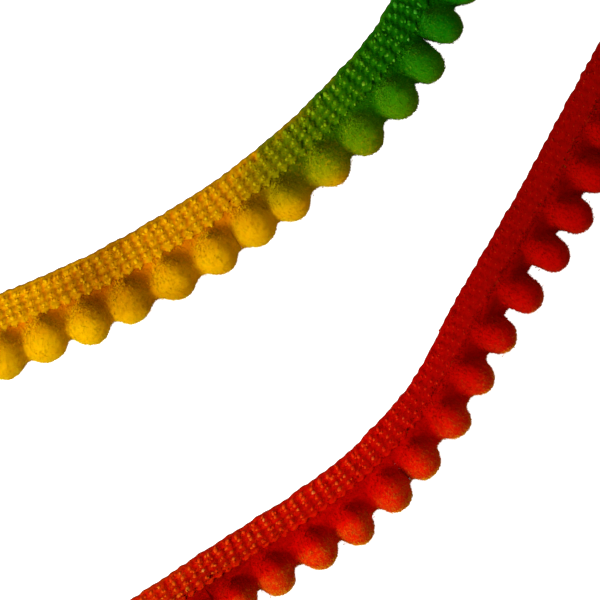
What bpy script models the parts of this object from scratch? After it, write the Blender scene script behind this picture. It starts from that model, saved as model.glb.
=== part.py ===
"""Pompom fringe trim: one cut length of ribbed braid with small pompoms along one edge.

The trim lies on its surface in one open, loose turn. Its far edge rests, and its braid climbs
from there to the pompoms, which lie side by side on the surface. Metres, +Z up, with the
origin on the surface under the middle of the trim's box.
"""

import math

import bpy
import numpy as np
from mathutils import Vector

MM = 0.001
GAP = 0.3 * MM  # between the pieces

# The lay of the trim, one row for each section, from its yellow end to its red end.
# x, y: the far edge of the braid. braid: its width, seen from above. reach: from the far
# edge to the outer end of the pompoms. All in mm.
LAY = (
    # x, y, braid, reach
    (-28.4, -24.9, 4.9, 11.9),
    (-22.8, -22.6, 4.9, 11.9),
    (-12.9, -18.3, 4.9, 12.0),
    (-3.1, -13.2, 4.9, 11.9),
    (6.2, -7.4, 4.9, 11.8),
    (15.0, -0.6, 4.9, 11.9),
    (23.0, 6.9, 4.9, 11.9),
    (30.0, 15.3, 4.9, 11.6),
    (34.4, 25.0, 4.9, 11.5),
    (35.8, 35.5, 4.8, 11.5),
    (33.8, 46.1, 4.8, 11.5),
    (28.6, 55.9, 4.8, 11.5),
    (20.9, 63.9, 4.8, 11.5),
    (11.1, 69.5, 4.8, 11.5),
    (-0.4, 72.0, 4.8, 11.5),
    (-12.4, 71.0, 4.8, 11.5),
    (-24.5, 66.7, 4.8, 11.5),
    (-36.0, 59.1, 4.8, 11.5),
    (-46.0, 48.8, 4.8, 11.5),
    (-53.9, 36.2, 4.8, 11.5),
    (-60.9, 14.4, 4.8, 11.5),
    (-61.6, -9.6, 4.8, 11.5),
    (-58.1, -32.6, 4.7, 11.5),
    (-50.0, -54.1, 4.6, 11.5),
    (-40.7, -65.0, 4.5, 11.5),
    (-28.7, -71.2, 4.4, 11.5),
    (-16.1, -71.0, 4.3, 11.5),
    (-4.5, -65.5, 4.2, 11.5),
    (4.5, -59.5, 4.1, 11.5),
    (13.7, -53.6, 4.1, 11.4),
    (22.8, -47.4, 4.1, 11.3),
    (30.8, -39.9, 4.0, 10.6),
    (36.0, -33.0, 4.0, 10.3),
    (39.6, -26.1, 4.1, 10.3),
    (45.0, -16.6, 4.2, 10.7),
    (50.6, -6.8, 4.3, 11.2),
    (55.8, 2.9, 4.3, 11.2),
    (61.2, 12.8, 4.3, 11.2),
    (66.6, 22.1, 4.3, 11.2),
)

# The pompoms, one row for each backing strip: where they are fixed along the far edge. The
# shifts are how far each pompom is off an even row. All in mm.
POMPOM_ROWS = (
    # first, pitch, shifts
    (3.2, 6.30, (0.0, -0.1, -0.2, -0.4, -0.1, 0.1)),
    (40.9, 6.00, (0.0, -0.4, 0.4, 0.4, 0.8, -0.1)),
    (75.7, 5.50, (0.0, -0.5, -0.5, -0.4, -0.2, 0.0)),
    (108.8, 5.70, (0.0, 0.1, -0.1, 0.1, 0.0, 0.1)),
    (143.1, 5.85, (0.0, 0.1, 0.2, 0.0, -0.1, 0.0)),
    (178.3, 6.10, (0.0, -0.1, -0.1, 0.2, 0.1, 0.1)),
    (215.0, 6.20, (0.1, 0.0, -0.2, 0.0, 0.2, 0.0)),
    (252.3, 6.25, (0.0, 0.2, 0.1, -0.2, -0.1, 0.0, 0.1)),
    (296.1, 6.25, (-0.1, 0.0, 0.2, 0.1, -0.2, 0.0, 0.1)),
    (339.9, 6.22, (0.0, -0.1, 0.2, 0.0, 0.1, -0.1)),
    (377.2, 6.30, (0.0, 0.0, 0.6, -0.1, -0.3)),
    (407.5, 6.30, (0.0, -0.2, -0.6, -0.4, 0.4)),
    (439.8, 6.15, (0.0, -0.1, 0.3, 0.2, 0.2, 0.1, 0.1)),
)

FINE_STEPS = 3000  # of the smooth curve through the lay's rows
CLOTH_WIDTH = 5.2 * MM  # the braid pulled out flat
BRAID_STEP = 4.0 * MM  # along the far edge
# Across the braid, from the far edge to the pompoms: a rolled rim that rests on its
# underside, then the ribbed web that climbs to the pompoms.
BRAID_SECTION = (
    # share of the width, share of the rise, underside mm, upper side mm
    (0.00, 0.00, 0.40, 0.85),
    (0.06, 0.00, 0.00, 1.25),
    (0.20, 0.00, 0.00, 1.30),
    (0.32, 0.06, 0.10, 1.15),
    (0.53, 0.28, 0.05, 1.25),
    (0.75, 0.62, 0.05, 1.30),
    (0.94, 0.92, 0.05, 1.20),
    (1.00, 1.00, 0.35, 0.90),
)

STRIP_WIDTH = 0.8 * MM
STRIP_HEIGHT = 1.1 * MM
STRIP_LIFT = 0.1 * MM  # over the braid's underside
STRIP_STEP = 3.5 * MM

BALL_RADIUS = 2.8 * MM  # to the middle of each side
BALL_SIDES = 8
BALL_PRESSED = 0.4 * MM  # what is lower than this is pressed flat on the surface
ROOT_SHARE = 0.5  # of a ball's length, where its axis climbs to the strip
# Along a pompom, from its root in the strip to its outer end.
BALL_PROFILE = (
    # share of its length, share of its radius
    (0.00, 0.16),
    (0.12, 0.55),
    (0.33, 0.88),
    (0.56, 1.00),
    (0.78, 0.87),
    (0.93, 0.55),
    (1.00, 0.14),
)

# Dyed in long gradual changes of colour (linear colour values).
DYE = (
    # place along the trim in mm, red, green, blue
    (0.0, 0.60, 0.28, 0.00),
    (48.0, 0.55, 0.29, 0.00),
    (58.0, 0.12, 0.22, 0.00),
    (150.0, 0.03, 0.16, 0.01),
    (240.0, 0.55, 0.29, 0.00),
    (370.0, 0.62, 0.05, 0.00),
    (440.0, 0.38, 0.00, 0.00),
    (500.0, 0.34, 0.00, 0.00),
)


def clear_scene():
    for old in list(bpy.data.objects):
        bpy.data.objects.remove(old, do_unlink=True)


def natural_spline(knots, values, at):
    """The smooth curve through the values at the knots, straight at its two ends."""
    gaps = np.diff(knots)
    slopes = np.diff(values, axis=0) / gaps[:, None]
    count = len(knots)
    matrix = np.eye(count)
    bends = np.zeros(values.shape)
    for i in range(1, count - 1):
        matrix[i, i - 1 : i + 2] = gaps[i - 1], 2 * (gaps[i - 1] + gaps[i]), gaps[i]
        bends[i] = 6 * (slopes[i] - slopes[i - 1])
    bends = np.linalg.solve(matrix, bends)
    i = np.clip(np.searchsorted(knots, at, side="right") - 1, 0, count - 2)
    gap = gaps[i][:, None]
    left = (knots[i + 1] - at)[:, None]
    right = (at - knots[i])[:, None]
    return (
        (bends[i] * left**3 + bends[i + 1] * right**3) / (6 * gap)
        + (values[i] / gap - bends[i] * gap / 6) * left
        + (values[i + 1] / gap - bends[i + 1] * gap / 6) * right
    )


def run_length(places):
    """The length from the first place to each one."""
    steps = np.linalg.norm(np.diff(places[:, :2], axis=0), axis=1)
    return np.r_[0, np.cumsum(steps)]


def fine_lay():
    """The lay at close steps: the length along the far edge, then x, y, braid and reach."""
    rows = np.array(LAY) * MM
    knots = run_length(rows)
    fine = natural_spline(knots, rows, np.linspace(0, knots[-1], FINE_STEPS))
    return np.c_[run_length(fine), fine]


FINE = fine_lay()
LENGTH = FINE[-1, 0]


def value_at(along, column):
    return float(np.interp(along, FINE[:, 0], FINE[:, column]))


def width_at(along):
    """The braid's width, seen from above."""
    return value_at(along, 3)


def reach_at(along):
    """From the far edge to the pompoms' outer ends."""
    return value_at(along, 4)


def rise_at(along):
    """How high the pompoms' side of the braid is over its far edge."""
    return math.sqrt(CLOTH_WIDTH**2 - width_at(along) ** 2)


def edge_at(along):
    return Vector((value_at(along, 1), value_at(along, 2), 0))


def ahead_at(along):
    """The direction in which the trim runs here."""
    return (edge_at(along + MM / 2) - edge_at(along - MM / 2)).normalized()


def point(along, across, height):
    """A point of the trim: along its far edge, across towards the pompoms, and up."""
    ahead = ahead_at(along)
    outwards = Vector((ahead.y, -ahead.x, 0))
    return edge_at(along) + across * outwards + Vector((0, 0, height))


def add_object(name, points, faces, colour):
    mesh = bpy.data.meshes.new(name)
    mesh.from_pydata([tuple(p) for p in points], [], faces)
    mesh.update()
    made = bpy.data.objects.new(name, mesh)
    bpy.context.scene.collection.objects.link(made)
    mesh.materials.append(yarn(name, colour))
    return made


def yarn(name, colour):
    """Soft dyed acrylic yarn."""
    made = bpy.data.materials.new(name)
    made.use_nodes = True
    shader = made.node_tree.nodes["Principled BSDF"]
    shader.inputs["Base Color"].default_value = (*colour, 1)
    shader.inputs["Roughness"].default_value = 0.9
    shader.inputs["Metallic"].default_value = 0
    return made


def dye_at(along):
    table = np.array(DYE)
    return tuple(float(np.interp(along / MM, table[:, 0], table[:, i])) for i in (1, 2, 3))


def skin(sections):
    """The faces of a tube through equal closed sections, with a flat cap at each end."""
    count = len(sections[0])
    points = [p for section in sections for p in section]
    faces = [tuple(range(count))[::-1]]
    for i in range(len(sections) - 1):
        for j in range(count):
            a, b = i * count + j, i * count + (j + 1) % count
            faces.append((a, b, b + count, a + count))
    faces.append(tuple(range(len(points) - count, len(points))))
    return points, faces


def braid():
    """The ribbed braid, swept whole along the lay."""
    sections = []
    for along in np.linspace(0, LENGTH, round(LENGTH / BRAID_STEP) + 1):
        width, rise = width_at(along), rise_at(along)
        under = [(a * width, r * rise + low * MM) for a, r, low, _ in BRAID_SECTION]
        upper = [(a * width, r * rise + high * MM) for a, r, _, high in BRAID_SECTION]
        sections.append([point(along, *place) for place in upper + under[::-1]])
    points, faces = skin(sections)
    return add_object("braid", points, faces, dye_at(0))


def strip(name, start, end, colour):
    """A row's narrow backing, which lies along the braid's outer edge."""
    sections = []
    for along in np.linspace(start, end, round((end - start) / STRIP_STEP) + 1):
        inner = width_at(along) + GAP
        low = rise_at(along) + STRIP_LIFT
        corners = (
            (inner, low),
            (inner, low + STRIP_HEIGHT),
            (inner + STRIP_WIDTH, low + STRIP_HEIGHT),
            (inner + STRIP_WIDTH, low),
        )
        sections.append([point(along, *corner) for corner in corners])
    points, faces = skin(sections)
    return add_object(name, points, faces, colour)


def ball(along):
    """The points and faces of one pompom: an egg from the strip to its outer end."""
    root = width_at(along) + GAP + STRIP_WIDTH / 2
    root_height = rise_at(along) + STRIP_LIFT + STRIP_HEIGHT / 2
    length = reach_at(along) - root
    ahead = ahead_at(along)
    sections = []
    for share, fullness in BALL_PROFILE:
        radius = BALL_RADIUS * fullness / math.cos(math.pi / BALL_SIDES)
        down = min(1, share / ROOT_SHARE)
        middle = root_height + (BALL_RADIUS - root_height) * down
        ring = []
        for side in range(BALL_SIDES):
            turn = 2 * math.pi * (side + 0.5) / BALL_SIDES
            height = middle + radius * math.sin(turn)
            if height < BALL_PRESSED:
                height = 0
            place = point(along, root + length * share, height)
            ring.append(place + ahead * radius * math.cos(turn))
        sections.append(ring)
    return skin(sections)


def joined(parts):
    """Several shapes as one list of points and faces."""
    points, faces = [], []
    for own_points, own_faces in parts:
        faces += [tuple(i + len(points) for i in face) for face in own_faces]
        points += own_points
    return points, faces


def pompom_row(name, start, end, places):
    """A backing strip with its pompoms fused to it by their roots."""
    colour = dye_at(sum(places) / len(places))
    row = strip(name, start, end, colour)
    balls = add_object(name + "_balls", *joined([ball(p) for p in places]), colour)
    balls.hide_render = True
    balls.display_type = "WIRE"
    union = row.modifiers.new("balls", "BOOLEAN")
    union.operation = "UNION"
    union.object = balls
    return row


def pompom_rows():
    """Every row, each parted from the next one half-way between their pompoms."""
    rows = [
        [(first + pitch * i + shift) * MM for i, shift in enumerate(shifts)]
        for first, pitch, shifts in POMPOM_ROWS
    ]
    partings = [(row[-1] + after[0]) / 2 for row, after in zip(rows, rows[1:])]
    starts = [0, *(parting + GAP / 2 for parting in partings)]
    ends = [*(parting - GAP / 2 for parting in partings), LENGTH]
    for number, (start, end, places) in enumerate(zip(starts, ends, rows), start=1):
        pompom_row(f"pompom_row_{number:02d}", start, end, places)


clear_scene()
braid()
pompom_rows()
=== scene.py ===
import math

import bpy
import numpy as np
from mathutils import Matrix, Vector


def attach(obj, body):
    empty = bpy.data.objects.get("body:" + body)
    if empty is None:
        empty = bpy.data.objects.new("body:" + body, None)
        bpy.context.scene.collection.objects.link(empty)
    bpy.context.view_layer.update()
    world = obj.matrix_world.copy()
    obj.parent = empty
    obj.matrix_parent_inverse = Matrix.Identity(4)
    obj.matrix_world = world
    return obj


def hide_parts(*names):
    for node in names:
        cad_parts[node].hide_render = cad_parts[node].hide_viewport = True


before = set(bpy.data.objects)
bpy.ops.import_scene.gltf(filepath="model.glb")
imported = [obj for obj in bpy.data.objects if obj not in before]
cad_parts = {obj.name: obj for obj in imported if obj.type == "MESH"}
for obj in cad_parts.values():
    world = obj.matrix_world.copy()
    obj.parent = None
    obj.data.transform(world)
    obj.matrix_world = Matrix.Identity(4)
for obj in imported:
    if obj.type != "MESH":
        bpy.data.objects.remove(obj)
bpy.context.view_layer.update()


# ---------------------------------------------------------------------------------------
# The braid. A narrow band of acrylic yarn, about 5 mm wide, knitted in ribs across five rows
# of stitches. It lies in one loose turn on its far edge, and climbs from there to the pompoms,
# which hold its other edge off the table.

MM = 0.001

# The lay of the trim, one row for each section, from its yellow end to its red end, in mm.
# x, y: the far edge of the braid. braid: its width, seen from above. reach, notch: from the
# far edge to the outer end of the pompoms, and to where their pile parts between them.
# girth: how wide a pompom is.
LAY = (
    # x, y, braid, reach, girth, notch
    (-28.4, -24.9, 4.9, 11.9, 6.5, 10.3),
    (-22.8, -22.6, 4.9, 11.9, 6.5, 10.3),
    (-12.9, -18.3, 4.9, 12.0, 6.5, 10.4),
    (-3.1, -13.2, 4.9, 11.9, 6.5, 10.5),
    (6.2, -7.4, 4.9, 11.8, 6.5, 10.6),
    (15.0, -0.6, 4.9, 11.9, 6.4, 10.2),
    (23.0, 6.9, 4.9, 11.9, 6.4, 10.2),
    (30.0, 15.3, 4.9, 11.6, 6.2, 9.4),
    (34.4, 25.0, 4.9, 11.5, 6.2, 9.2),
    (35.8, 35.5, 4.8, 11.5, 6.2, 9.4),
    (33.8, 46.1, 4.8, 11.5, 6.2, 9.4),
    (28.6, 55.9, 4.8, 11.5, 6.2, 9.4),
    (20.9, 63.9, 4.8, 11.5, 6.2, 9.4),
    (11.1, 69.5, 4.8, 11.5, 6.2, 9.4),
    (-0.4, 72.0, 4.8, 11.5, 6.2, 9.4),
    (-12.4, 71.0, 4.8, 11.5, 6.2, 9.4),
    (-24.5, 66.7, 4.8, 11.5, 6.2, 9.4),
    (-36.0, 59.1, 4.8, 11.5, 6.2, 9.4),
    (-46.0, 48.8, 4.8, 11.5, 6.2, 9.4),
    (-53.9, 36.2, 4.8, 11.5, 6.2, 9.4),
    (-60.9, 14.4, 4.8, 11.5, 6.2, 9.4),
    (-61.6, -9.6, 4.8, 11.5, 6.1, 9.4),
    (-58.1, -32.6, 4.7, 11.5, 6.1, 9.4),
    (-50.0, -54.1, 4.6, 11.5, 6.1, 9.4),
    (-40.7, -65.0, 4.5, 11.5, 6.0, 9.4),
    (-28.7, -71.2, 4.4, 11.5, 6.0, 9.3),
    (-16.1, -71.0, 4.3, 11.5, 6.0, 9.3),
    (-4.5, -65.5, 4.2, 11.5, 6.0, 9.2),
    (4.5, -59.5, 4.1, 11.5, 6.0, 9.2),
    (13.7, -53.6, 4.1, 11.4, 5.9, 9.3),
    (22.8, -47.4, 4.1, 11.7, 5.9, 9.6),
    (30.8, -39.9, 4.0, 10.9, 5.9, 9.2),
    (36.0, -33.0, 4.0, 10.5, 5.8, 8.8),
    (39.6, -26.1, 4.1, 10.4, 5.7, 7.9),
    (45.0, -16.6, 4.2, 10.9, 5.8, 7.3),
    (50.6, -6.8, 4.3, 11.2, 5.8, 8.1),
    (55.8, 2.9, 4.3, 11.2, 5.9, 8.6),
    (61.2, 12.8, 4.3, 11.2, 5.9, 8.6),
    (66.6, 22.1, 4.3, 11.2, 5.9, 8.6),
)
FAR_X, FAR_Y, BRAID, REACH, GIRTH, NOTCH = range(1, 7)  # its columns, after the run length
CLOTH_WIDTH = 5.2 * MM  # the braid pulled out flat


def natural_spline(knots, values, at):
    """The smooth curve through the values at the knots, straight at its two ends."""
    gaps = np.diff(knots)
    slopes = np.diff(values, axis=0) / gaps[:, None]
    count = len(knots)
    matrix = np.eye(count)
    bends = np.zeros(values.shape)
    for i in range(1, count - 1):
        matrix[i, i - 1 : i + 2] = gaps[i - 1], 2 * (gaps[i - 1] + gaps[i]), gaps[i]
        bends[i] = 6 * (slopes[i] - slopes[i - 1])
    bends = np.linalg.solve(matrix, bends)
    i = np.clip(np.searchsorted(knots, at, side="right") - 1, 0, count - 2)
    gap = gaps[i][:, None]
    left = (knots[i + 1] - at)[:, None]
    right = (at - knots[i])[:, None]
    return (
        (bends[i] * left**3 + bends[i + 1] * right**3) / (6 * gap)
        + (values[i] / gap - bends[i] * gap / 6) * left
        + (values[i + 1] / gap - bends[i + 1] * gap / 6) * right
    )


def run_length(places):
    """The length from the first place to each one."""
    steps = np.linalg.norm(np.diff(places[:, :2], axis=0), axis=1)
    return np.r_[0, np.cumsum(steps)]


lay_rows = np.array(LAY) * MM
lay_knots = run_length(lay_rows)
lay_fine = natural_spline(lay_knots, lay_rows, np.linspace(0, lay_knots[-1], 3000))
lay_fine = np.c_[run_length(lay_fine), lay_fine]
LENGTH = lay_fine[-1, 0]


def lay_value(along, column):
    """A column of the lay where the far edge has run this long, carried on past its ends."""
    along = np.asarray(along, float)
    value = np.interp(along, lay_fine[:, 0], lay_fine[:, column])
    if column > FAR_Y:
        return value
    for end, inner in ((0, 1), (-1, -2)):
        over = along - lay_fine[end, 0]
        beyond = over < 0 if end == 0 else over > 0
        step = lay_fine[end] - lay_fine[inner]
        value = value + np.where(beyond, over * step[column] / step[0], 0)
    return value


def width_at(along):
    """The braid's width, seen from above."""
    return lay_value(along, BRAID)


def rise_at(along):
    """How high the pompoms' side of the braid is over its far edge."""
    return np.sqrt(CLOTH_WIDTH**2 - width_at(along) ** 2)


def directions_at(along):
    """Unit vectors ahead along the trim and outwards to the pompoms."""
    half = 0.5 * MM
    steps = [lay_value(along + half, i) - lay_value(along - half, i) for i in (FAR_X, FAR_Y)]
    ahead = np.stack([steps[0], steps[1], np.zeros_like(steps[0])], -1)
    ahead /= np.linalg.norm(ahead, axis=-1, keepdims=True)
    outwards = np.stack([ahead[..., 1], -ahead[..., 0], ahead[..., 2]], -1)
    return ahead, outwards


def place(along, across, height):
    """Points of the trim: along its far edge, across towards the pompoms, and up."""
    along, across, height = np.broadcast_arrays(along, across, height)
    _, outwards = directions_at(along)
    edge = np.stack([lay_value(along, FAR_X), lay_value(along, FAR_Y), height], -1)
    return edge + across[..., None] * outwards


BRAID_SECTION = (
    # across the braid from its far edge: share of the width, share of the rise, thickness mm
    (0.00, 0.00, 0.85),
    (0.06, 0.00, 1.25),
    (0.20, 0.00, 1.30),
    (0.32, 0.06, 1.15),
    (0.53, 0.28, 1.25),
    (0.75, 0.62, 1.30),
    (0.94, 0.92, 1.20),
    (1.00, 1.00, 0.90),
)
section_share, section_rise, section_thick = np.array(BRAID_SECTION).T


def braid_top(along, share):
    """The height of the braid's upper side, at a share of its width from the far edge."""
    thickness = np.interp(share, section_share, section_thick) * MM
    return rise_at(along) * np.interp(share, section_share, section_rise) + thickness


def add_piece(name, points, faces, dye_place, shade_and_tone, normals=None):
    """A smooth mesh that carries its place along the dyed yarn, and how deep its colour is
    painted: painted shade where it is deeper, painted highlight where it is lighter, with uneven
    tone mixed in.
    """
    mesh = bpy.data.meshes.new(name)
    mesh.vertices.add(len(points))
    mesh.vertices.foreach_set("co", np.asarray(points, np.float32).ravel())
    if isinstance(faces, list):
        sizes = np.array([len(face) for face in faces])
        corners = np.concatenate([np.asarray(face) for face in faces])
    else:
        sizes = np.full(len(faces), faces.shape[1])
        corners = faces.ravel()
    mesh.loops.add(len(corners))
    mesh.loops.foreach_set("vertex_index", corners.astype(np.int32))
    mesh.polygons.add(len(sizes))
    starts = np.r_[0, np.cumsum(sizes)[:-1]]
    mesh.polygons.foreach_set("loop_start", starts.astype(np.int32))
    for title, values in (("dye_place", dye_place / LENGTH), ("shade_and_tone", shade_and_tone)):
        layer = mesh.attributes.new(title, "FLOAT", "POINT")
        layer.data.foreach_set("value", np.asarray(values, np.float32).ravel())
    mesh.update(calc_edges=True)
    mesh.shade_smooth()
    if normals is not None:
        mesh.normals_split_custom_set_from_vertices(normals)
    made = bpy.data.objects.new(name, mesh)
    bpy.context.scene.collection.objects.link(made)
    return made


# The yarn was dyed before it was knitted, in long gradual changes of colour.
DYE = (
    # place along the trim in mm, red, green, blue, and how many fibres keep an earlier dye
    (0, 1.00, 0.64, 0.001, 0.20),
    (6, 1.04, 0.68, 0.001, 0.20),
    (12, 1.02, 0.65, 0.001, 0.20),
    (17, 0.80, 0.46, 0.001, 0.25),
    (21, 0.84, 0.49, 0.001, 0.25),
    (26, 1.00, 0.63, 0.001, 0.20),
    (40, 0.96, 0.61, 0.001, 0.20),
    (46, 0.54, 0.50, 0.001, 0.32),
    (52, 0.33, 0.45, 0.001, 0.30),
    (60, 0.16, 0.43, 0.002, 0.10),
    (66, 0.065, 0.37, 0.004, 0.07),
    (74, 0.014, 0.32, 0.006, 0.06),
    (150, 0.02, 0.35, 0.008, 0.08),
    (195, 0.40, 0.50, 0.002, 0.20),
    (240, 1.00, 0.62, 0.001, 0.20),
    (310, 1.00, 0.36, 0.001, 0.30),
    (352, 0.98, 0.16, 0.001, 0.40),
    (375, 0.84, 0.050, 0.001, 0.42),
    (390, 0.91, 0.035, 0.001, 0.45),
    (402, 0.86, 0.020, 0.001, 0.45),
    (412, 0.77, 0.008, 0.001, 0.35),
    (424, 0.72, 0.002, 0.001, 0.15),
    (440, 0.66, 0.001, 0.001, 0.06),
    (482, 0.62, 0.001, 0.001, 0.04),
)
FLECK_LAG = 42 * MM  # single fibres keep the colour of this much earlier


def dyed_yarn(name, value, roughness, specular, sheen, fleck, grain, grain_depth):
    """Matte dyed acrylic with a fine fibrous relief, its colour deepened by a gamma from a
    per-point attribute: painted shade between its fibres, in grooves and between the pompoms, and
    painted highlight where the attribute is low.

    value: how light its dye is. fleck: how strongly single fibres keep the colour that was
    dyed before this one. grain: how many bumps of grain_depth there are to a metre.
    """
    made = bpy.data.materials.new(name)
    made.use_nodes = True
    nodes, links = made.node_tree.nodes, made.node_tree.links
    shader = nodes["Principled BSDF"]

    def noise(scale, detail, distortion=0.0):
        texture = nodes.new("ShaderNodeTexNoise")
        texture.inputs["Scale"].default_value = scale
        texture.inputs["Detail"].default_value = detail
        texture.inputs["Distortion"].default_value = distortion
        links.new(coordinates.outputs["Object"], texture.inputs["Vector"])
        return texture.outputs["Fac"]

    def colours(where):
        ramp = nodes.new("ShaderNodeValToRGB")
        links.new(where, ramp.inputs["Fac"])
        stops = ramp.color_ramp.elements
        for i, (at, *colour) in enumerate(DYE):
            position = min(1, at * MM / LENGTH)
            stop = stops[i] if i < 2 else stops.new(position)
            stop.position = position
            stop.color = colour
        return ramp.outputs

    coordinates = nodes.new("ShaderNodeTexCoord")
    where = nodes.new("ShaderNodeAttribute")
    where.attribute_name = "dye_place"
    before = nodes.new("ShaderNodeMath")
    before.operation = "SUBTRACT"
    before.inputs[1].default_value = FLECK_LAG / LENGTH
    links.new(where.outputs["Fac"], before.inputs[0])
    flecks = nodes.new("ShaderNodeMapRange")
    flecks.inputs["From Min"].default_value = 0.52
    flecks.inputs["From Max"].default_value = 0.66
    flecks.inputs["To Max"].default_value = fleck
    kept = nodes.new("ShaderNodeMath")
    kept.operation = "MULTIPLY"
    links.new(noise(2100, 2, 1.6), flecks.inputs["Value"])
    dye = nodes.new("ShaderNodeMix")
    dye.data_type = "RGBA"
    here = colours(where.outputs["Fac"])
    links.new(flecks.outputs["Result"], kept.inputs[0])
    links.new(here["Alpha"], kept.inputs[1])
    links.new(kept.outputs["Value"], dye.inputs["Factor"])
    links.new(here["Color"], dye.inputs["A"])
    links.new(colours(before.outputs["Value"])["Color"], dye.inputs["B"])
    shade_and_tone = nodes.new("ShaderNodeAttribute")
    shade_and_tone.attribute_name = "shade_and_tone"
    uneven = nodes.new("ShaderNodeMath")
    uneven.operation = "MULTIPLY_ADD"
    uneven.inputs[1].default_value = 0.5
    links.new(noise(900, 3), uneven.inputs[0])
    links.new(shade_and_tone.outputs["Fac"], uneven.inputs[2])
    # Painted shade and painted highlight: the per-point attribute, plus noise, deepens or lightens
    # the dye through this gamma.
    shade_gamma = nodes.new("ShaderNodeGamma")
    links.new(dye.outputs["Result"], shade_gamma.inputs["Color"])
    links.new(uneven.outputs["Value"], shade_gamma.inputs["Gamma"])
    darker = nodes.new("ShaderNodeVectorMath")
    darker.operation = "SCALE"
    darker.inputs["Scale"].default_value = value
    links.new(shade_gamma.outputs["Color"], darker.inputs[0])
    links.new(darker.outputs["Vector"], shader.inputs["Base Color"])
    bump = nodes.new("ShaderNodeBump")
    bump.inputs["Distance"].default_value = grain_depth
    bump.inputs["Strength"].default_value = 0.6
    links.new(noise(grain, 2), bump.inputs["Height"])
    links.new(bump.outputs["Normal"], shader.inputs["Normal"])
    shader.inputs["Roughness"].default_value = roughness
    shader.inputs["Specular IOR Level"].default_value = specular
    shader.inputs["Specular Tint"].default_value = (1.0, 0.58, 0.12, 1)
    shader.inputs["Sheen Weight"].default_value = sheen
    shader.inputs["Sheen Roughness"].default_value = 0.4
    shader.inputs["Sheen Tint"].default_value = (1.0, 0.50, 0.02, 1)
    return made


RIB_PITCH = 1.57 * MM
WALES = np.array((0.21, 0.38, 0.59, 0.81, 1.01))  # rows of stitches, as shares of the width
WALE_HALF = 0.105  # half the width of a row, as a share
STITCH_LEAN = 0.50  # how far a stitch leans back along the braid over its width
RIB_GROOVE = 0.27 * MM
WALE_GROOVE = 0.20 * MM
RIM_RIPPLE = 0.09 * MM  # the yarn's turns round the far edge
FUZZ_RELIEF = 0.035 * MM
EDGE_LOOPS = 0.13 * MM  # how far each rib loops out past the pompoms' side
FAR_LOOPS = 0.05 * MM  # and past the far edge
FELTED_FROM, FELTED_OVER = 404, 24  # mm along the trim, where its stitches mat together
loose = np.random.default_rng(5)  # the knitting isn't quite even
rib_count = int(LENGTH / RIB_PITCH) + 3
stitch_shift = loose.normal(0, 0.06, (rib_count, len(WALES)))
stitch_lift = loose.normal(0, 0.045, (rib_count, len(WALES))) * MM
stitch_tilt = loose.normal(-0.01, 0.06, (rib_count, len(WALES), 2)) * MM


def eased(part):
    """From 0 to 1, level at both ends."""
    return part * part * (3 - 2 * part)


def felt(along, across, grain, seed):
    """A soft random relief, about one unit high, with lumps of this size."""
    shape = (int(LENGTH / grain) + 8, int(8 * MM / grain) + 8)
    lumps = np.random.default_rng(seed).normal(size=shape)
    places = []
    for value, size in ((along, shape[0]), (across, shape[1])):
        at = np.clip(value / grain + 3, 0, size - 1.001)
        cell = np.floor(at).astype(int)
        places.append((cell, eased(at - cell)))
    (i, x), (j, y) = places
    near = lumps[i, j] * (1 - y) + lumps[i, j + 1] * y
    far = lumps[i + 1, j] * (1 - y) + lumps[i + 1, j + 1] * y
    return near * (1 - x) + far * x


def felted_at(along):
    """How far the stitches have matted together, which the red end's have."""
    return np.clip((along / MM - FELTED_FROM) / FELTED_OVER, 0, 1)


def knitting(along, share):
    """How high the stitches stand over the section of the braid, and how deep a groove is, which
    the braid's colour is painted deeper by, as painted shade.
    """
    along, share = np.broadcast_arrays(along, share)
    width = width_at(along)
    across = share * width
    wale = np.abs(share[..., None] - WALES).argmin(-1)
    y = (share - WALES[wale]) / WALE_HALF
    straight = along + STITCH_LEAN * (share - WALES[wale]) * width
    rib = np.clip(np.round(straight / RIB_PITCH).astype(int), 0, rib_count - 1)
    x = 2 * (straight / RIB_PITCH - rib - stitch_shift[rib, wale])
    groove = np.clip(np.abs(x), 0, 1) ** 3.5
    last_row = np.clip((share - 0.86) / 0.05, 0, 1)
    between = np.clip(np.abs(y), 0, 1) ** 2.5 * (1 - 0.8 * last_row)
    crisp = 1 - 0.6 * felted_at(along)
    fade = eased(np.clip((share - 0.05) / 0.09, 0, 1))
    relief = -RIB_GROOVE * groove - WALE_GROOVE * between * (1 - 0.5 * groove)
    tilted = (stitch_tilt[rib, wale] * np.stack([x, y], -1)).sum(-1)
    relief = relief + stitch_lift[rib, wale] + tilted
    rim = RIM_RIPPLE * np.cos(2 * np.pi * (along + 1.1 * across) / (RIB_PITCH / 2))
    relief = relief * crisp * fade + rim * (1 - fade)
    relief = relief + FUZZ_RELIEF * felt(along, across, 0.45 * MM, 6)
    return relief, crisp * fade * np.maximum(groove, 0.5 * between)


def braid_place(along, share, above=0.0):
    """A point on the knitted upper side, this much above it."""
    ribs = np.cos(2 * np.pi * along / RIB_PITCH)
    waver, tremor, slack = (
        size * MM * felt(along, 0.0 * along, grain * MM, seed)
        for size, grain, seed in ((0.05, 2.1, 7), (0.04, 0.8, 8), (0.07, 0.6, 9))
    )
    wave = (waver + tremor) * np.clip(1 - 2 * share, 0, 1)
    wave = wave + (EDGE_LOOPS * ribs + slack) * np.clip((share - 0.88) / 0.12, 0, 1)
    wave = wave + FAR_LOOPS * ribs * np.clip(1 - 8 * share, 0, 1)
    height = braid_top(along, share) + knitting(along, share)[0] + above
    return place(along, share * width_at(along) + wave, height)


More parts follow.
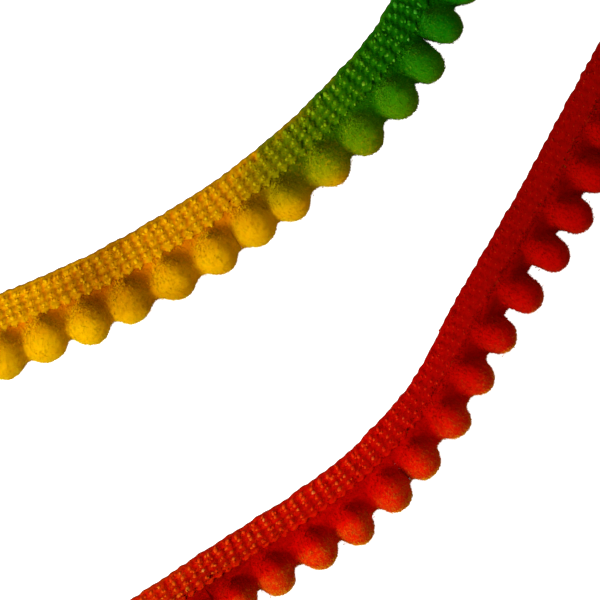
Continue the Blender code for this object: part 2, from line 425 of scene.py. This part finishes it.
STEPS_ALONG = 2680
RIM_ROLL = 1.25 * MM  # how far the far edge rolls down
RIM_ROLL_SHARE = 0.34  # over this share of the width
RIM_LOW = 0.04 * MM  # it isn't lower than this
UNDER_HEIGHT = 0.05 * MM  # of the braid's underside, over the table at its far edge
RIM_DYE_LAG = 14 * MM  # the far edge's yarn changes colour up to this much later
braid_yarn = dyed_yarn(
    "braid_yarn",
    value=0.70,
    roughness=0.65,
    specular=0.04,
    sheen=0.02,
    fleck=1.2,
    grain=4200,
    grain_depth=0.05 * MM,
)
along_steps = np.linspace(0, LENGTH, STEPS_ALONG)[:, None]
top_shares = np.r_[0.012, 0.03, np.linspace(0.06, 1.03, 28)]
top = braid_place(along_steps, top_shares)
rolled = np.clip(1 - top_shares / RIM_ROLL_SHARE, 0, 0.98)
drop = RIM_ROLL * (1 - np.sqrt(1 - rolled**2))
top[..., 2] = np.maximum(top[..., 2] - drop, RIM_LOW)
low_shares = np.array((0.90, 0.55, 0.30, 0.06))
low_rises = np.interp(low_shares, section_share, section_rise)
low_heights = UNDER_HEIGHT + rise_at(along_steps) * low_rises
under = place(along_steps, low_shares * width_at(along_steps), low_heights)
ground = np.concatenate([top, under], 1)
count = ground.shape[1]
j = np.arange(count)
after = (j + 1) % count
first = count * np.arange(len(ground) - 1)[:, None]
ground_faces = np.stack([first + j, first + after, first + count + after, first + count + j], -1)
ground_faces = [tuple(face) for face in ground_faces.reshape(-1, 4)]
ground_faces.append(tuple(range(count))[::-1])
ground_faces.append(tuple(range(ground.size // 3 - count, ground.size // 3)))
# The grooves between the stitches are painted deeper as painted shade, and so is the hidden
# underside; the colour is also deeper past where the stitches mat together.
groove_shade = knitting(along_steps, top_shares)[1]
top_depth = 1.22 + 1.2 * groove_shade + 0.4 * felted_at(along_steps)
ground_depth = np.concatenate([top_depth, np.full(under.shape[:2], 1.3)], 1)
rim_share = np.clip(1 - top_shares / 0.45, 0, 1)
rim_patches = felt(along_steps, top_shares * CLOTH_WIDTH, 1.3 * MM, 12)
rim_lag = RIM_DYE_LAG * rim_share * np.clip(0.36 + 1.1 * rim_patches, 0, 0.62)
under_dye = np.repeat(along_steps, under.shape[1], 1)
ground_dye = np.concatenate([along_steps - rim_lag, under_dye], 1)
braid_ground = add_piece(
    "braid_ground",
    ground.reshape(-1, 3),
    ground_faces,
    ground_dye.ravel(),
    ground_depth.ravel(),
)
braid_ground.data.materials.append(braid_yarn)
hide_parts("braid")
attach(braid_ground, "root")


# ---------------------------------------------------------------------------------------
# The loop heads. Each stitch of the braid shows a short bend of its tightly spun yarn,
# painted lighter than the braid as a painted highlight, and loose fibres of the yarn lie
# all over the stitches.

HEAD_HALF = np.array((0.41, 0.25, 0.17)) * MM  # along the yarn, across it, and up
HEAD_SLANT = math.radians(-48)
HEAD_HIGHLIGHT_DEPTH = (
    # place along the trim in mm, and how deep the head's colour is; low, so that the heads stand
    # lighter than the braid as painted highlights
    (0, 1.20),
    (42, 1.10),
    (58, 0.72),
    (200, 0.72),
    (240, 1.20),
    (340, 0.95),
    (376, 0.66),
    (404, 0.66),
    (428, 1.5),
)
HIDDEN_FROM = 370 * MM  # from here on the pile hides the last row's heads


def along_trim(rows, along):
    """A value that changes along the trim, from rows of a place in mm and the value there."""
    return np.interp(along / MM, *zip(*rows))


def bead(sides, rings):
    """The points and triangles of a unit ball."""
    tilt = np.pi * np.arange(1, rings) / rings
    turn = 2 * np.pi * np.arange(sides) / sides
    tilt, turn = np.meshgrid(tilt, turn, indexing="ij")
    middle = np.stack([np.cos(tilt), np.sin(tilt) * np.cos(turn), np.sin(tilt) * np.sin(turn)], -1)
    points = np.concatenate([[[1, 0, 0]], middle.reshape(-1, 3), [[-1, 0, 0]]])
    k = np.arange(sides)
    after = (k + 1) % sides
    faces = [np.stack([np.zeros_like(k), 1 + k, 1 + after], 1)]
    for ring in range(rings - 2):
        a, b = 1 + ring * sides, 1 + (ring + 1) * sides
        faces.append(np.stack([a + k, b + k, b + after], 1))
        faces.append(np.stack([a + k, b + after, a + after], 1))
    last = 1 + (rings - 2) * sides
    end = len(points) - 1
    faces.append(np.stack([last + k, np.full_like(k, end), last + after], 1))
    return points, np.concatenate(faces)


ribs = np.repeat(np.arange(1, rib_count - 3), len(WALES))
wales = np.tile(np.arange(len(WALES)), rib_count - 4)
head_rib = np.repeat(ribs, 2)
head_wale = np.repeat(wales, 2)
stray = np.tile([0.0, 1.0], len(ribs))  # every other one is a small stray bend
head_count = len(head_rib)
head_along = (head_rib + stitch_shift[head_rib, head_wale]) * RIB_PITCH
head_along = head_along + loose.normal(0, 0.10 + 0.20 * stray, head_count) * MM
head_share = WALES[head_wale] + loose.normal(0, 0.012 + 0.05 * stray, head_count)
felted = felted_at(head_along)
head_size = np.where(stray > 0, 0.6, 1.0) * loose.normal(1, 0.18, head_count)
last_row_size = 0.7 - 0.6 * (head_along > HIDDEN_FROM)
last_row_size = np.where(head_wale == len(WALES) - 1, last_row_size, 1.0)
head_size = head_size * (1 - 0.45 * felted) * last_row_size
head_halves = HEAD_HALF * head_size[:, None]
head_turn = HEAD_SLANT + loose.normal(0, 0.25 + 0.6 * stray, head_count)
head_middle = braid_place(head_along, head_share, (0.02 - 0.08 * felted) * MM)
head_ahead, head_out = directions_at(head_along)
head_main = head_ahead * np.cos(head_turn)[:, None] + head_out * np.sin(head_turn)[:, None]
head_side = head_out * np.cos(head_turn)[:, None] - head_ahead * np.sin(head_turn)[:, None]
bead_points, bead_faces = bead(6, 4)
bent = bead_points * head_halves[:, None, :]
bent[..., 2] -= 0.6 * bent[..., 0] ** 2 / HEAD_HALF[0]
head_points = head_middle[:, None] + bent[..., :1] * head_main[:, None]
head_points = head_points + bent[..., 1:2] * head_side[:, None]
head_points[..., 2] += bent[..., 2]
head_faces = bead_faces[:, ::-1] + len(bead_points) * np.arange(head_count)[:, None, None]
head_highlight_depth = along_trim(HEAD_HIGHLIGHT_DEPTH, head_along) + loose.normal(0, 0.20, head_count)
heads = add_piece(
    "braid_loop_heads",
    head_points.reshape(-1, 3),
    head_faces.reshape(-1, 3),
    np.repeat(head_along, len(bead_points)),
    np.repeat(head_highlight_depth, len(bead_points)),
)
# The heads' yarn is lighter in value than the braid's, as a painted highlight.
highlight_yarn = dyed_yarn(
    "braid_yarn_bends_painted_highlight",
    value=0.82,
    roughness=0.44,
    specular=0.22,
    sheen=0.04,
    fleck=0.4,
    grain=5200,
    grain_depth=0.01 * MM,
)
heads.data.materials.append(highlight_yarn)
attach(heads, "root")


def tangents(vectors):
    """Two unit vectors square to each of these."""
    helper = np.where(np.abs(vectors[:, 2:]) < 0.8, [[0.0, 0.0, 1.0]], [[1.0, 0.0, 0.0]])
    first = np.cross(vectors, helper)
    first /= np.linalg.norm(first, axis=1, keepdims=True)
    return first, np.cross(vectors, first)


def spikes(roots, tips, width, turn):
    """Thin three-sided fibres from their roots to their tips."""
    axis = tips - roots
    axis /= np.linalg.norm(axis, axis=1, keepdims=True)
    first, second = tangents(axis)
    corners = []
    for k in range(3):
        angle = (turn + 2 * np.pi * k / 3)[:, None]
        corners.append(roots + width[:, None] * (first * np.cos(angle) + second * np.sin(angle)))
    points = np.stack([*corners, tips], 1)
    base = 4 * np.arange(len(roots))[:, None]
    faces = np.concatenate([base + [0, 1, 3], base + [1, 2, 3], base + [2, 0, 3]])
    return points.reshape(-1, 3), faces


FUZZ_PER_MM = 26
FUZZ_HALF = 0.028 * MM
fuzz_count = int(FUZZ_PER_MM * LENGTH / MM)
fuzz_along = loose.uniform(0, LENGTH, fuzz_count)
fuzz_share = loose.uniform(0.05, 1.03, fuzz_count)
fuzz_turn = loose.uniform(0, 2 * np.pi, fuzz_count)
fuzz_middle = braid_place(fuzz_along, fuzz_share, loose.uniform(0.0, 0.05, fuzz_count) * MM)
fuzz_ahead, fuzz_out = directions_at(fuzz_along)
fuzz_reach = fuzz_ahead * np.cos(fuzz_turn)[:, None] + fuzz_out * np.sin(fuzz_turn)[:, None]
fuzz_reach[:, 2] = loose.normal(0.0, 0.10, fuzz_count)
fuzz_reach *= loose.uniform(0.15, 0.40, fuzz_count)[:, None] * MM
fuzz_points, fuzz_faces = spikes(
    fuzz_middle - fuzz_reach,
    fuzz_middle + fuzz_reach,
    np.full(fuzz_count, FUZZ_HALF),
    fuzz_turn,
)
fuzz = add_piece(
    "braid_fuzz",
    fuzz_points,
    fuzz_faces,
    np.repeat(fuzz_along, 4),
    np.repeat(loose.normal(1.0, 0.15, fuzz_count), 4),
)
fuzz.data.materials.append(braid_yarn)
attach(fuzz, "root")


# ---------------------------------------------------------------------------------------
# The pompoms. Each is a ball of cut pile, gathered at its root on the braid's edge and
# trimmed to an egg. It lies on the table on a small flat, and leans on its neighbours.

POMPOM_ROWS = (
    # first, pitch, shifts along the far edge, in mm, slot
    (3.2, 6.30, (0.0, -0.1, -0.2, -0.4, -0.1, 0.1), "yellow_pile"),
    (40.9, 6.00, (0.0, -0.4, 0.4, 0.4, 0.8, -0.1), "olive_pile"),
    (75.7, 5.50, (0.0, -0.5, -0.5, -0.4, -0.2, 0.0), "green_pile"),
    (108.8, 5.70, (0.0, 0.1, -0.1, 0.1, 0.0, 0.1), "green_pile"),
    (143.1, 5.85, (0.0, 0.1, 0.2, 0.0, -0.1, 0.0), "green_pile"),
    (178.3, 6.10, (0.0, -0.1, -0.1, 0.2, 0.1, 0.1), "olive_pile"),
    (215.0, 6.20, (0.1, 0.0, -0.2, 0.0, 0.2, 0.0), "yellow_pile"),
    (252.3, 6.25, (0.0, 0.2, 0.1, -0.2, -0.1, 0.0, 0.1), "yellow_pile"),
    (296.1, 6.25, (-0.1, 0.0, 0.2, 0.1, -0.2, 0.0, 0.1), "yellow_pile"),
    (339.9, 6.22, (0.0, -0.1, 0.2, 0.0, 0.1, -0.1), "orange_pile"),
    (377.2, 6.30, (0.0, 0.0, 0.6, -0.1, -0.3), "orange_red_pile"),
    (407.5, 6.30, (0.0, -0.2, -0.6, -0.4, 0.4), "orange_red_pile"),
    (439.8, 6.15, (0.0, -0.1, 0.3, 0.2, 0.2, 0.1, 0.1), "red_pile"),
)
BALL_HEIGHT = 5.9 * MM
FRINGE = 0.30 * MM  # how far loose tips stand out past the trimmed form
ROOT_HEIGHT = 0.75 * MM  # of a pompom's root, above the underside of the braid's edge
LEAN_SHARE = 0.7  # how much of the climb to its root a pompom leans with
OPEN_GAP = 70.8 * MM  # after this pompom the pile stays apart, down to its root
OPEN_NOTCH = 7.5 * MM
OPEN_SLIMMER = ((0.0, 0.97), (4.9, 0.92))  # mm past it, and that pompom's share of its girth

# The shape of the pompoms, from rows of a place along the trim in mm and the value there:
# how long the root end is, as a share of the half width, and how much slimmer it is; and how
# high the pile between two pompoms is, and how far it sags, in mm.
BALL_LONG = ((0, 1.10), (340, 1.12), (380, 1.25), (400, 1.40), (424, 1.55), (482, 1.55))
BALL_TAPER = ((0, 0.05), (340, 0.06), (400, 0.12), (424, 0.16), (482, 0.16))
WEB_HEIGHT = ((0, 3.8), (330, 3.6), (400, 3.1), (482, 3.0))
WEB_SAG = (
    *((0, 0.22), (44, 0.26), (60, 0.05), (200, 0.05), (240, 0.30)),
    *((350, 0.45), (378, 0.60), (400, 0.50), (420, 0.20)),
)
HEEL_THICK = 0.60 * MM  # half of what the pile between two measures on the braid's edge
BLEND = 1.0 * MM  # how softly a pompom rises from the pile beside it
CLOSING = 0.4 * MM  # and two neighbours meet
SWELL = 0.035 * MM  # how uneven the trimmed pile is
BESIDE = 7 * MM  # no pompom farther off shapes a row
PILE_STEP = 0.4 * MM
PILE_RAYS = 34  # points round a section of the pile
RAYS_HEIGHT = 1.9 * MM  # the middle from which they are looked for
RAYS_REACH = 9 * MM
PILE_LOW = 0.03 * MM  # the height of the flat that it lies on

pull = np.random.default_rng(11)  # each pompom and each fibre is pulled a little differently
balls = [
    [(first + pitch * i + shift) * MM for i, shift in enumerate(shifts)]
    for first, pitch, shifts, _ in POMPOM_ROWS
]
ball_along = np.array([place_along for row in balls for place_along in row])
ball_half = (lay_value(ball_along, GIRTH) / 2 - FRINGE) * pull.normal(1, 0.012, len(ball_along))
ball_end = lay_value(ball_along, REACH) + pull.normal(0, 0.10 * MM, len(ball_along))
ball_long = ball_half * along_trim(BALL_LONG, ball_along)
ball_taper = along_trim(BALL_TAPER, ball_along)
ball_middle = place(ball_along, ball_end - ball_half, BALL_HEIGHT / 2)
ball_ahead, ball_out = directions_at(ball_along)
climb = rise_at(ball_along) + ROOT_HEIGHT - BALL_HEIGHT / 2
ball_tilt = np.arctan2(climb, ball_end - ball_half - width_at(ball_along))
ball_tilt = LEAN_SHARE * ball_tilt[:, None]
ball_axis = ball_out * np.cos(ball_tilt) - np.array([[0, 0, 1]]) * np.sin(ball_tilt)
ball_up = ball_out * np.sin(ball_tilt) + np.array([[0, 0, 1]]) * np.cos(ball_tilt)
for place_after, slimmer in OPEN_SLIMMER:
    ball_half[np.abs(ball_along - OPEN_GAP - place_after * MM) < 0.5 * MM] *= slimmer
gap_along = (ball_along[1:] + ball_along[:-1]) / 2
gap_notch = lay_value(gap_along, NOTCH) + pull.normal(0, 0.15 * MM, len(gap_along))
gap_notch[np.abs(ball_along[:-1] - OPEN_GAP) < 0.5 * MM] = OPEN_NOTCH
swell_waves = pull.normal(0, 0.9 / MM, (7, 3))
swell_starts = pull.uniform(0, 2 * np.pi, 7)


def blend(first, second, width):
    """The smaller of two distances, rounded where they are nearly the same."""
    near = np.maximum(width - np.abs(first - second), 0) / width
    return np.minimum(first, second) - near**2 * width / 4


def to_pile(along, across, height, near):
    """How far a point is outside the cut pile, and how far from these pompoms alone."""
    point = place(along, across, height)
    apart = point[..., None, :] - ball_middle[near]
    x, y, z = ((apart * axes[near]).sum(-1) for axes in (ball_ahead, ball_axis, ball_up))
    y = np.where(y < 0, y / ball_long[near], y / ball_half[near])
    x = x / (ball_half[near] * (1 + ball_taper[near] * np.clip(y, -1, 0)))
    away = (np.sqrt(x**2 + y**2 + (2 * z / BALL_HEIGHT) ** 2) - 1) * ball_half[near]
    from_balls = away[..., 0]
    for k in range(1, len(near)):
        from_balls = blend(from_balls, away[..., k], CLOSING)
    web_end = np.interp(along, gap_along, gap_notch) - FRINGE
    edge = width_at(along)
    heel_height = rise_at(along) + (0.22 + 0.38 * felted_at(along)) * MM
    heel = np.stack([edge + 0.15 * MM, heel_height], -1)
    web_height, sag = (along_trim(rows, along) * MM for rows in (WEB_HEIGHT, WEB_SAG))
    half = np.minimum(web_height, web_end - edge + 0.6 * MM) / 2
    toe = np.stack([web_end - half, half + 0.02 * MM], -1)
    spine = toe - heel
    here = np.stack([across, height], -1) - heel
    part = np.clip((here * spine).sum(-1) / (spine**2).sum(-1), 0, 1)
    thick = HEEL_THICK + part * (half - HEEL_THICK) - sag * 4 * part * (1 - part)
    from_web = np.linalg.norm(here - part[..., None] * spine, axis=-1) - thick
    swell = SWELL * np.sin(point @ swell_waves.T + swell_starts).sum(-1)
    return blend(from_balls, from_web, BLEND) - swell, from_balls


def pile_surface(start, end):
    """The rounded surface of one row of pile: points, normals, across, and how far down in it."""
    along = np.linspace(start, end, max(3, int((end - start) / PILE_STEP)))[:, None]
    angle = 2 * np.pi * np.arange(PILE_RAYS) / PILE_RAYS
    near = np.flatnonzero((ball_along > start - BESIDE) & (ball_along < end + BESIDE))
    notch = np.interp(along, gap_along, gap_notch)
    core_across = (width_at(along) + notch) / 2
    along = along + 0 * angle

    def at(length):
        return core_across + length * np.cos(angle), RAYS_HEIGHT + length * np.sin(angle)

    low, high = np.zeros_like(along), np.full_like(along, RAYS_REACH)
    for _ in range(16):
        middle = (low + high) / 2
        outside = to_pile(along, *at(middle), near)[0] > 0
        low, high = np.where(outside, low, middle), np.where(outside, middle, high)
    across, height = at(low)
    height = np.maximum(height, PILE_LOW)
    points = place(along, across, height)
    ahead = np.gradient(points, axis=0)
    round_ = np.roll(points, -1, axis=1) - np.roll(points, 1, axis=1)
    normals = np.cross(round_, ahead)
    normals /= np.linalg.norm(normals, axis=-1, keepdims=True)
    if (normals[..., 2] * np.sin(angle)).sum() < 0:
        normals = -normals
    far = to_pile(along, across, height, near)[1]
    return along, points, normals, across, far


def core_triangles(points, normals):
    """The triangles of one row's core and its two flat ends, with their faces out."""
    j = np.arange(PILE_RAYS)
    first = PILE_RAYS * np.arange(len(points) - 1)[:, None]
    after = first + (j + 1) % PILE_RAYS
    corners = np.stack([first + j, after, after + PILE_RAYS, first + PILE_RAYS + j], -1)
    corners = corners.reshape(-1, 4)
    sides = np.concatenate([corners[:, [0, 1, 2]], corners[:, [0, 2, 3]]])
    near_end = np.stack([0 * j[2:], j[1:-1], j[2:]], 1)
    far_end = (len(points) - 1) * PILE_RAYS + near_end
    a, b, c = np.moveaxis(points.reshape(-1, 3)[sides], 1, 0)
    outwards = (np.cross(b - a, c - a) * normals.reshape(-1, 3)[sides[:, 0]]).sum() > 0
    triangles = np.concatenate([sides, near_end[:, ::-1], far_end])
    return triangles if outwards else triangles[:, ::-1]


PILE_PER_MM = 380  # fibres to each mm of the trim
PILE_LENGTH = 0.42 * MM
PILE_HALF = 0.07 * MM
COMBED = 0.10  # share of longer, thinner fibres that lie along the surface
CORE_UNDER = 0.12 * MM  # the core lies this far under the tips of the fibres
FIBRE_LOW = 0.02 * MM  # no fibre is lower
STRAY_SHARE, STRAY_LIGHTER = 0.08, 0.35  # a few fibres took the dye less
THINNEST_DEPTH = 0.45  # so that no fibre bleaches

# The colour of the pile, from rows of a place along the trim in mm and the value there: how
# much deeper it is painted at the root, as painted shade, how uneven its fibres are, how much
# lighter their outer tips are, how much lighter those on the outline are painted, as a painted
# rim light, and from how much earlier along the dyed yarn, in mm, the tips come, and those on
# the outline, whose earlier golden dye is part of that painted rim light.
ROOT_SHADE = (
    *((0, 0.7), (44, 0.5), (60, -0.1), (200, 0.0), (240, 0.7)),
    *((350, 0.8), (376, 6.0), (392, 5.0), (402, 2.0), (410, 0.4)),
)
UNEVEN_DYE = ((0, 0.10), (60, 0.10), (340, 0.14), (376, 0.22), (420, 0.22), (440, 0.12))
TIPS_LIGHTER = ((340, 0.0), (376, 0.55), (408, 0.65), (424, 0.45), (440, 0.0))
EDGE_PAINTED_LIGHT = (
    *((0, 0.9), (44, 0.9), (60, 0.0), (200, 0.0), (240, 0.9)),
    *((390, 1.0), (400, 1.2), (424, 1.1), (440, 0.3)),
)
DYE_LAG = (
    *((0, 11), (47, 12), (53, 16), (57, 9), (60, 7), (350, 9)),
    *((380, 17), (396, 26), (420, 28), (438, 12), (482, 11)),
)
EDGE_GLOW_LAG = ((352, 0), (378, 55), (404, 75), (426, 75), (442, 0))
FAR_SHADE = 0.75  # painted shade between the pompoms


def pile_dye(along, across):
    """Where along the dyed yarn the pile comes from, and how far from root to tips this is."""
    edge = width_at(along)
    share = np.clip((across - edge) / (lay_value(along, REACH) - edge), 0, 1)
    return along - along_trim(DYE_LAG, along) * MM * share**2.5, share


def pile_painted_shade(along, across, far):
    """How much deeper the pile's colour is painted, as painted shade, at its root and between the
    pompoms.
    """
    from_root = np.clip((across - width_at(along)) / (4 * MM), 0, 1)
    painted_shade = along_trim(ROOT_SHADE, along) * (1 - from_root)
    return painted_shade + FAR_SHADE * np.clip(far / (1.0 * MM), 0, 1), from_root


def grow_fibres(start, end, along, points, normals, across, far):
    """One row's cut fibres: points, faces, place along the dyed yarn, depth and normals.

    They grow evenly from the whole surface, but few from the side on the table.
    """
    second, third = np.roll(points, -1, 1)[:-1], np.roll(points, -1, 1)[1:]
    area = np.linalg.norm(np.cross(third - points[:-1], points[1:] - second), axis=-1) / 2
    area = area * np.where(normals[:-1, :, 2] < -0.35, 0.12, 1.0)
    past_edge = (across - width_at(along))[:-1]
    upward = np.clip((normals[:-1, :, 2] - 0.1) / 0.4, 0, 1)
    area = area * np.where(past_edge < 0.6 * MM, upward, 1.0) * (past_edge > -0.30 * MM)
    count = int(PILE_PER_MM * (end - start) / MM)
    chosen = pull.choice(area.size, count, p=area.ravel() / area.sum())
    row, ray = np.divmod(chosen, PILE_RAYS)
    x, y = pull.uniform(0, 1, (2, count))

    def between(values):
        beside = np.roll(values, -1, 1)
        weights = ((1 - x) * (1 - y), (1 - x) * y, x * (1 - y), x * y)
        parts = (values[row, ray], beside[row, ray], values[row + 1, ray], beside[row + 1, ray])
        shape = (-1, *[1] * (values.ndim - 2))
        return sum(weight.reshape(shape) * part for weight, part in zip(weights, parts))

    tips, facing = between(points), between(normals)
    facing /= np.linalg.norm(facing, axis=1, keepdims=True)
    along, across, far = between(along), between(across), between(far)
    _, outwards = directions_at(along)
    painted_shade, from_root = pile_painted_shade(along, across, far)
    past_facing = (facing * outwards).sum(1)

    leaning = facing + outwards * (0.9 - 0.6 * from_root)[:, None]
    leaning = leaning + pull.normal(0, 0.45, (count, 3))
    combed = pull.uniform(0, 1, count) < COMBED
    combed = combed & (facing[:, 2] > 0.5) & (from_root > 0.5)
    lying = outwards - facing * past_facing[:, None] + pull.normal(0, 0.35, (count, 3))
    leaning = np.where(combed[:, None], lying + 0.2 * facing, leaning)
    leaning /= np.linalg.norm(leaning, axis=1, keepdims=True)
    length = PILE_LENGTH * pull.normal(1, 0.22, count) * (1 + 0.3 * (1 - from_root))
    length = length * np.where(combed, 1.8, 1.0)
    stand = pull.normal(0, 0.03, count) * np.where(combed, 0.6, 1.0)
    stand = stand + np.where(combed, 0.02, 0.06)
    tips = tips + facing * stand[:, None] * MM
    tips[:, 2] = np.maximum(tips[:, 2], PILE_LOW)
    half = PILE_HALF * pull.normal(1, 0.2, count) * np.where(combed, 0.6, 1.0)
    turn = pull.uniform(0, 6.28, count)
    fibres, faces = spikes(tips - leaning * length[:, None], tips, half, turn)
    fibres[:, 2] = np.maximum(fibres[:, 2], FIBRE_LOW)

    # Fibres on the outline, facing out and low, are painted lighter and take an earlier, golden
    # dye: a painted rim light.
    lit_rim = np.clip((past_facing - 0.35) / 0.45, 0, 1)
    lit_rim = lit_rim * np.clip(1.1 - facing[:, 2] / 0.65, 0, 1)
    glow_lag = along_trim(EDGE_GLOW_LAG, along) * MM * np.clip(1.2 * lit_rim, 0, 1)
    lit_rim = lit_rim * along_trim(EDGE_PAINTED_LIGHT, along)
    dye_place, root_share = pile_dye(along, across)
    uneven = along_trim(UNEVEN_DYE, along) + 0.10 * (1 - from_root)
    tone = painted_shade - lit_rim + pull.normal(0, 1, count) * uneven
    tone = tone - STRAY_LIGHTER * (pull.uniform(0, 1, count) < STRAY_SHARE)
    tone = tone - along_trim(TIPS_LIGHTER, along) * np.clip((root_share - 0.35) / 0.4, 0, 1)
    # Each fibre's three root corners are painted deeper than its tip, as painted shade among the
    # fibres.
    shade_and_tone = np.stack([1.15 + tone] * 3 + [0.70 + tone], 1)  # three root corners and the tip
    shade_and_tone = np.maximum(shade_and_tone, THINNEST_DEPTH).ravel()
    back = np.clip(-past_facing, 0, 1)[:, None]  # none faces back into the braid
    fibre_normals = facing + outwards * back + pull.normal(0, 0.09, facing.shape)
    fibre_normals[:, 2] += 0.9 * lit_rim  # light comes through the thin fringe of the tips
    fibre_normals /= np.linalg.norm(fibre_normals, axis=1, keepdims=True)
    return fibres, faces, np.repeat(dye_place - glow_lag, 4), shade_and_tone, fibre_normals


pile = dyed_yarn(
    "pompom_pile",
    value=0.78,
    roughness=0.8,
    specular=0.04,
    sheen=0.10,
    fleck=1.4,
    grain=3000,
    grain_depth=0.05 * MM,
)
partings = [(row[-1] + after[0]) / 2 for row, after in zip(balls, balls[1:])]
partings = [0.0, *partings, LENGTH]
pompom_rows = zip(partings, partings[1:], POMPOM_ROWS)
for number, (start, end, (*_, slot_name)) in enumerate(pompom_rows, 1):
    along, points, normals, across, far = pile_surface(start, end)
    fibres, fibre_faces, fibre_dye, fibre_depth, fibre_normals = grow_fibres(
        start, end, along, points, normals, across, far
    )
    core_dye = pile_dye(along, across)[0].ravel()
    # The core's colour is painted deeper at the root and between the pompoms, as painted shade.
    core_depth = (1.2 + pile_painted_shade(along, across, far)[0]).ravel()
    row_piece = add_piece(
        f"pompoms_{number:02d}",
        np.concatenate([(points - normals * CORE_UNDER).reshape(-1, 3), fibres]),
        np.concatenate([core_triangles(points, normals), fibre_faces + points.size // 3]),
        np.r_[core_dye, fibre_dye],
        np.r_[core_depth, fibre_depth],
        np.concatenate([normals.reshape(-1, 3), np.repeat(fibre_normals, 4, axis=0)]),
    )
    row_piece.data.materials.append(pile)
    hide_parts(f"pompom_row_{number:02d}")
    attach(row_piece, "root")


# ---------------------------------------------------------------------------------------
# The table, the light and the camera. A white table, one soft light from the near left
# side, a weak one overhead, a warm dim room, and a long lens straight above the trim.

TABLE_HALF = 3.0
table_corners = ((-1, -1, 0), (1, -1, 0), (1, 1, 0), (-1, 1, 0))
table_points = [Vector(corner) * TABLE_HALF for corner in table_corners]
table_mesh = bpy.data.meshes.new("table")
table_mesh.from_pydata(table_points, [], [(0, 1, 2, 3)])
table = bpy.data.objects.new("table", table_mesh)
bpy.context.scene.collection.objects.link(table)
table_paint = bpy.data.materials.new("table_paint")
table_paint.use_nodes = True
paint = table_paint.node_tree.nodes["Principled BSDF"]
paint.inputs["Base Color"].default_value = (0.9, 0.9, 0.9, 1)
paint.inputs["Roughness"].default_value = 0.9
paint.inputs["Emission Color"].default_value = (1, 1, 1, 1)
paint.inputs["Emission Strength"].default_value = 1.0
table_mesh.materials.append(table_paint)
table.visible_diffuse = False  # it glows, but not onto the trim
table.visible_glossy = False


VIEW_MIDDLE = Vector((19.2, -23.6, 2.5)) * MM
VIEW_WIDTH = 84 * MM
CAMERA_HEIGHT = 0.9


def soft_light(name, towards, distance, size, power):
    """A square soft light that shines from this side onto the middle of the view."""
    lamp = bpy.data.lights.new(name, "AREA")
    lamp.energy = power
    lamp.size = size
    made = bpy.data.objects.new(name, lamp)
    bpy.context.scene.collection.objects.link(made)
    made.location = VIEW_MIDDLE + Vector(towards).normalized() * distance
    made.rotation_mode = "QUATERNION"
    made.rotation_quaternion = Vector(towards).to_track_quat("Z", "Y")


soft_light("key", (-0.55, -0.50, 0.67), distance=0.50, size=0.18, power=2.25)
soft_light("overhead", (-0.2, 0.1, 1), distance=0.8, size=0.8, power=0.4)
world = bpy.data.worlds.new("room")
world.use_nodes = True
room = world.node_tree.nodes["Background"]
room.inputs["Color"].default_value = (1, 0.76, 0.50, 1)
room.inputs["Strength"].default_value = 0.38
bpy.context.scene.world = world

lens = bpy.data.cameras.new("camera")
lens.sensor_width = 36
lens.lens = lens.sensor_width * CAMERA_HEIGHT / VIEW_WIDTH
lens.clip_start = 0.01
camera = bpy.data.objects.new("camera", lens)
bpy.context.scene.collection.objects.link(camera)
camera.location = VIEW_MIDDLE + Vector((0, 0, CAMERA_HEIGHT))
bpy.context.scene.camera = camera
bpy.context.scene.view_settings.view_transform = "Standard"
